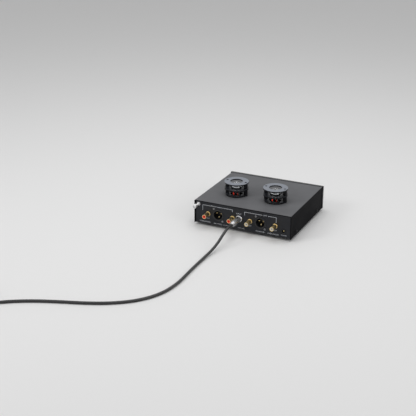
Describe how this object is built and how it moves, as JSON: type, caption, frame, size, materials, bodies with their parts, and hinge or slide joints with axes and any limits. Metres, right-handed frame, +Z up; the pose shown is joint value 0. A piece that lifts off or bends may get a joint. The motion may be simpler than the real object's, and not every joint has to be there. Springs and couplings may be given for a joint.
{
  "type": "phono preamp",
  "caption": "Low black phono preamplifier with two ring-guarded tubes on top, gold and balanced sockets on the rear, a loading dial and buttons in front, and a plugged-in signal lead.",
  "frame": {"origin": "on the resting surface, in the middle of the object's own box without its lead", "axes": "+Z up, front panel faces -Y, rear panel with the sockets faces +Y"},
  "size_m": [0.5012, 0.6862, 0.0808],
  "materials": {
    "black_steel": "satin black powder coat",
    "satin_black": "fine satin black paint",
    "black_aluminium": "black anodised, fine brushed",
    "charcoal_panel": "satin charcoal with light grey printed lines",
    "rubber_foot": "matt black rubber",
    "black_screw": "blackened steel",
    "brass_part": "plain brass",
    "green_board": "green solder mask",
    "clear_light": "clear light guide",
    "capacitor_can": "dark sleeve",
    "relay_case": "pale plastic case",
    "gold_contact": "polished gold plate",
    "black_plastic": "black moulded plastic",
    "nickel_silver": "satin nickel plate",
    "pot_case": "plain metal can",
    "dial_aluminium": "black anodised, turned",
    "ceramic": "off-white ceramic",
    "tube_glass": "clear glass",
    "getter_mirror": "silver mirror film with dark rim",
    "plate_metal": "dark grey carbonised nickel",
    "guard_metal": "satin black, light grey where it faces the sky",
    "red_insulator": "bright red moulded plastic",
    "white_insulator": "white moulded plastic",
    "cord_rubber": "satin black jacket"
  },
  "bodies": {
    "case": {"balanced_pins": "gold_contact", "base_tray": "black_steel", "board_standoffs": "brass_part", "cartridge_socket": "nickel_silver", "case_screws": "black_screw", "circuit_board": "green_board", "control_board": "green_board", "cord": "cord_rubber", "cord_coil": "cord_rubber", "cord_tail": "cord_rubber", "dial_potentiometer": "pot_case", "far_plug": "nickel_silver", "feet": "rubber_foot", "filter_capacitors": "capacitor_can", "front_panel": "black_aluminium", "ground_post": "nickel_silver", "guard_screws": "black_screw", "jack_contacts": "gold_contact", "left_balanced_output": "black_plastic", "left_guard_base": "guard_metal", "left_guard_middle_ring": "guard_metal", "left_guard_posts": "guard_metal", "left_guard_top_ring": "guard_metal", "left_jack_insulators": "white_insulator", "left_phono_jacks": "gold_contact", "left_tube_socket": "ceramic", "panel_nuts": "nickel_silver", "plug_boot": "cord_rubber", "plug_shell": "nickel_silver", "power_jack": "black_plastic", "power_jack_pin": "gold_contact", "rear_panel": "charcoal_panel", "right_balanced_output": "black_plastic", "right_guard_base": "guard_metal", "right_guard_middle_ring": "guard_metal", "right_guard_posts": "guard_metal", "right_guard_top_ring": "guard_metal", "right_jack_insulators": "red_insulator", "right_phono_jacks": "gold_contact", "right_tube_socket": "ceramic", "signal_relays": "relay_case", "status_lights": "clear_light", "top_cover": "satin_black"},
    "left_tube": {"left_tube_core": "plate_metal", "left_tube_getter": "getter_mirror", "left_tube_glass": "tube_glass"},
    "right_tube": {"right_tube_core": "plate_metal", "right_tube_getter": "getter_mirror", "right_tube_glass": "tube_glass"},
    "dial": {"loading_dial": "dial_aluminium", "dial_shaft": "nickel_silver"},
    "ground_carrier": {"ground_washer": "nickel_silver"},
    "ground_nut": {"ground_thumb_nut": "nickel_silver"},
    "latch": {"plug_latch": "black_plastic"},
    "power_button": {"power_button": "dial_aluminium"},
    "input_button": {"input_button": "dial_aluminium"},
    "gain_button": {"gain_button": "dial_aluminium"},
    "capacitance_button": {"capacitance_button": "dial_aluminium"},
    "filter_button": {"filter_button": "dial_aluminium"}
  },
  "joints": [
    {"name": "left_tube_lift", "type": "slide", "parent": "case", "child": "left_tube", "axis": [0, 0, 1], "range_m": [0, 0.055]},
    {"name": "right_tube_lift", "type": "slide", "parent": "case", "child": "right_tube", "axis": [0, 0, 1], "range_m": [0, 0.055]},
    {"name": "dial_turn", "type": "hinge", "parent": "case", "child": "dial", "pos_m": [0.062, -0.0946, 0.0288], "axis": [0, 1, 0], "range_deg": [-150, 150]},
    {"name": "ground_nut_turn", "type": "hinge", "parent": "ground_carrier", "child": "ground_nut", "pos_m": [0.0935, 0.1044, 0.046], "axis": [0, 1, 0], "range_deg": [-3145, 0]},
    {"name": "ground_nut_travel", "type": "slide", "parent": "case", "child": "ground_carrier", "axis": [0, 1, 0], "range_m": [-0.0061, 0]},
    {"name": "power_press", "type": "slide", "parent": "case", "child": "power_button", "axis": [0, 1, 0], "range_m": [0, 0.002], "stiffness_N_per_m": 500},
    {"name": "input_press", "type": "slide", "parent": "case", "child": "input_button", "axis": [0, 1, 0], "range_m": [0, 0.001], "stiffness_N_per_m": 600},
    {"name": "gain_press", "type": "slide", "parent": "case", "child": "gain_button", "axis": [0, 1, 0], "range_m": [0, 0.001], "stiffness_N_per_m": 600},
    {"name": "capacitance_press", "type": "slide", "parent": "case", "child": "capacitance_button", "axis": [0, 1, 0], "range_m": [0, 0.001], "stiffness_N_per_m": 600},
    {"name": "filter_press", "type": "slide", "parent": "case", "child": "filter_button", "axis": [0, 1, 0], "range_m": [0, 0.001], "stiffness_N_per_m": 600},
    {"name": "latch_press", "type": "slide", "parent": "case", "child": "latch", "axis": [0, 0, -1], "range_m": [0, 0.0008], "stiffness_N_per_m": 500}
  ],
  "couplings": [
    {"joint": "ground_nut_turn", "follows": "ground_nut_travel", "rad_per_m": 8976}
  ]
}
